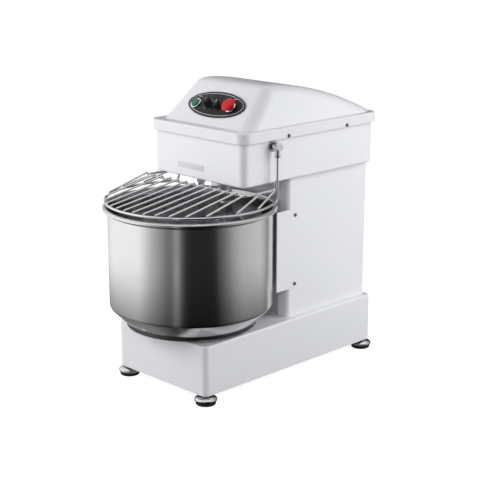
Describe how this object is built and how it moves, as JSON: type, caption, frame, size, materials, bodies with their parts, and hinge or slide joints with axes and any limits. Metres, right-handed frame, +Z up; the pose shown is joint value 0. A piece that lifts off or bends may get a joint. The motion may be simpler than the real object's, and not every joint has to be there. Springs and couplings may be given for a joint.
{
  "type": "commercial stand mixer",
  "caption": "Floor or bench spiral dough mixer: white cabinet, turning steel bowl, spiral hook, hinged wire guard and a sloped control panel.",
  "frame": {"origin": "on the floor, under the middle of the whole machine's box", "axes": "+X to the machine's right as seen from the front, +Y from the bowl to the back, +Z up"},
  "size_m": [0.429, 0.7325, 0.7428],
  "materials": {
    "white_paint": "smooth gloss powder coat, white",
    "lid_white": "smooth gloss white, moulded lid",
    "brushed_stainless": "brushed stainless steel, grain round the bowl",
    "polished_stainless": "polished stainless steel",
    "chrome_wire": "bright chromed wire",
    "dark_steel": "dark oiled steel",
    "bare_steel": "turned steel",
    "zinc_steel": "zinc plated steel",
    "grey_iron": "machined grey casting",
    "motor_paint": "grey enamel",
    "black_rubber": "matt black rubber",
    "belt_rubber": "matt black rubber",
    "black_plastic": "gloss black plastic",
    "matte_black_plastic": "fine grained black plastic",
    "red_plastic": "gloss red plastic",
    "green_lens": "translucent green lens",
    "grey_plastic": "light grey plastic",
    "steel_plate": "satin blank plate"
  },
  "bodies": {
    "machine_frame": {"base_housing": "white_paint", "base_bottom_plate": "zinc_steel", "foot_studs": "zinc_steel", "foot_cups": "polished_stainless", "foot_pads": "black_rubber", "column_housing": "white_paint", "rear_cover": "white_paint", "bowl_back_shield": "white_paint", "cable_gland": "matte_black_plastic", "head_housing": "white_paint", "lid": "lid_white", "lid_spacers": "zinc_steel", "cover_screws": "polished_stainless", "nameplate": "steel_plate", "pivot_flanges": "polished_stainless", "control_panel": "black_plastic", "panel_rim": "matte_black_plastic", "switch_bodies": "matte_black_plastic", "start_bezel": "chrome_wire", "estop_collar": "grey_plastic", "breaker_bar": "polished_stainless", "breaker_bar_nuts": "zinc_steel", "hook_bearing_housing": "grey_iron", "bowl_bearing_housing": "grey_iron", "bearing_housings": "grey_iron", "ball_bearings": "bare_steel", "housing_bolts": "zinc_steel", "motor_body": "motor_paint", "motor_plate": "zinc_steel", "motor_fan_cover": "motor_paint", "v_belt": "belt_rubber", "hook_chain": "dark_steel", "jack_chain": "dark_steel", "bowl_chain": "dark_steel", "electrical_box": "grey_plastic", "safety_switch": "matte_black_plastic"},
    "bowl_group": {"bowl": "brushed_stainless", "turntable": "dark_steel", "bowl_shaft": "bare_steel", "bowl_bolts": "zinc_steel", "bowl_sprocket": "dark_steel"},
    "hook_group": {"spiral_hook": "polished_stainless", "hook_sprocket": "dark_steel"},
    "main_shaft_group": {"main_shaft": "bare_steel", "driven_pulley": "grey_iron", "main_sprockets": "dark_steel"},
    "jack_shaft_group": {"jack_shaft": "bare_steel", "jack_sprockets": "dark_steel"},
    "rotor_group": {"motor_shaft": "bare_steel", "motor_pulley": "grey_iron"},
    "guard_group": {"guard_ring": "chrome_wire", "guard_frame": "chrome_wire", "guard_wires": "chrome_wire", "guard_bosses": "chrome_wire", "guard_pins": "bare_steel"},
    "start_button_body": {"start_button": "green_lens"},
    "timer_knob_body": {"timer_knob": "matte_black_plastic"},
    "selector_knob_body": {"selector_knob": "matte_black_plastic"},
    "estop_body": {"estop_button": "red_plastic"}
  },
  "joints": [
    {"name": "hook_spin", "type": "hinge", "parent": "machine_frame", "child": "hook_group", "pos_m": [0, -0.03125, 0.518], "axis": [0, 0, 1], "continuous": true},
    {"name": "bowl_spin", "type": "hinge", "parent": "machine_frame", "child": "bowl_group", "pos_m": [0, -0.15175, 0.1515], "axis": [0, 0, 1], "continuous": true},
    {"name": "main_shaft_spin", "type": "hinge", "parent": "machine_frame", "child": "main_shaft_group", "pos_m": [0, 0.13025, 0.518], "axis": [0, 0, 1], "continuous": true},
    {"name": "jack_shaft_spin", "type": "hinge", "parent": "machine_frame", "child": "jack_shaft_group", "pos_m": [0.04, 0.01463, 0.1515], "axis": [0, 0, 1], "continuous": true},
    {"name": "motor_spin", "type": "hinge", "parent": "machine_frame", "child": "rotor_group", "pos_m": [0, 0.26025, 0.518], "axis": [0, 0, 1], "continuous": true},
    {"name": "guard_lift", "type": "hinge", "parent": "machine_frame", "child": "guard_group", "pos_m": [0, -0.03054, 0.6055], "axis": [-1, 0, 0], "range_deg": [0, 85]},
    {"name": "start_press", "type": "slide", "parent": "machine_frame", "child": "start_button_body", "axis": [0, 0.7071, -0.7071], "range_m": [0, 0.002], "stiffness_N_per_m": 600},
    {"name": "estop_press", "type": "slide", "parent": "machine_frame", "child": "estop_body", "axis": [0, 0.7071, -0.7071], "range_m": [0, 0.005], "stiffness_N_per_m": 900},
    {"name": "timer_turn", "type": "hinge", "parent": "machine_frame", "child": "timer_knob_body", "pos_m": [-0.017, -0.06835, 0.6871], "axis": [0, -0.7071, 0.7071], "range_deg": [-300, 0]},
    {"name": "selector_turn", "type": "hinge", "parent": "machine_frame", "child": "selector_knob_body", "pos_m": [0.014, -0.06835, 0.6871], "axis": [0, -0.7071, 0.7071], "range_deg": [-60, 60]}
  ],
  "couplings": [
    {"joint": "main_shaft_spin", "follows": "hook_spin", "ratio": 1.5},
    {"joint": "jack_shaft_spin", "follows": "hook_spin", "ratio": 0.5},
    {"joint": "bowl_spin", "follows": "hook_spin", "ratio": 0.125},
    {"joint": "motor_spin", "follows": "hook_spin", "ratio": 6}
  ]
}
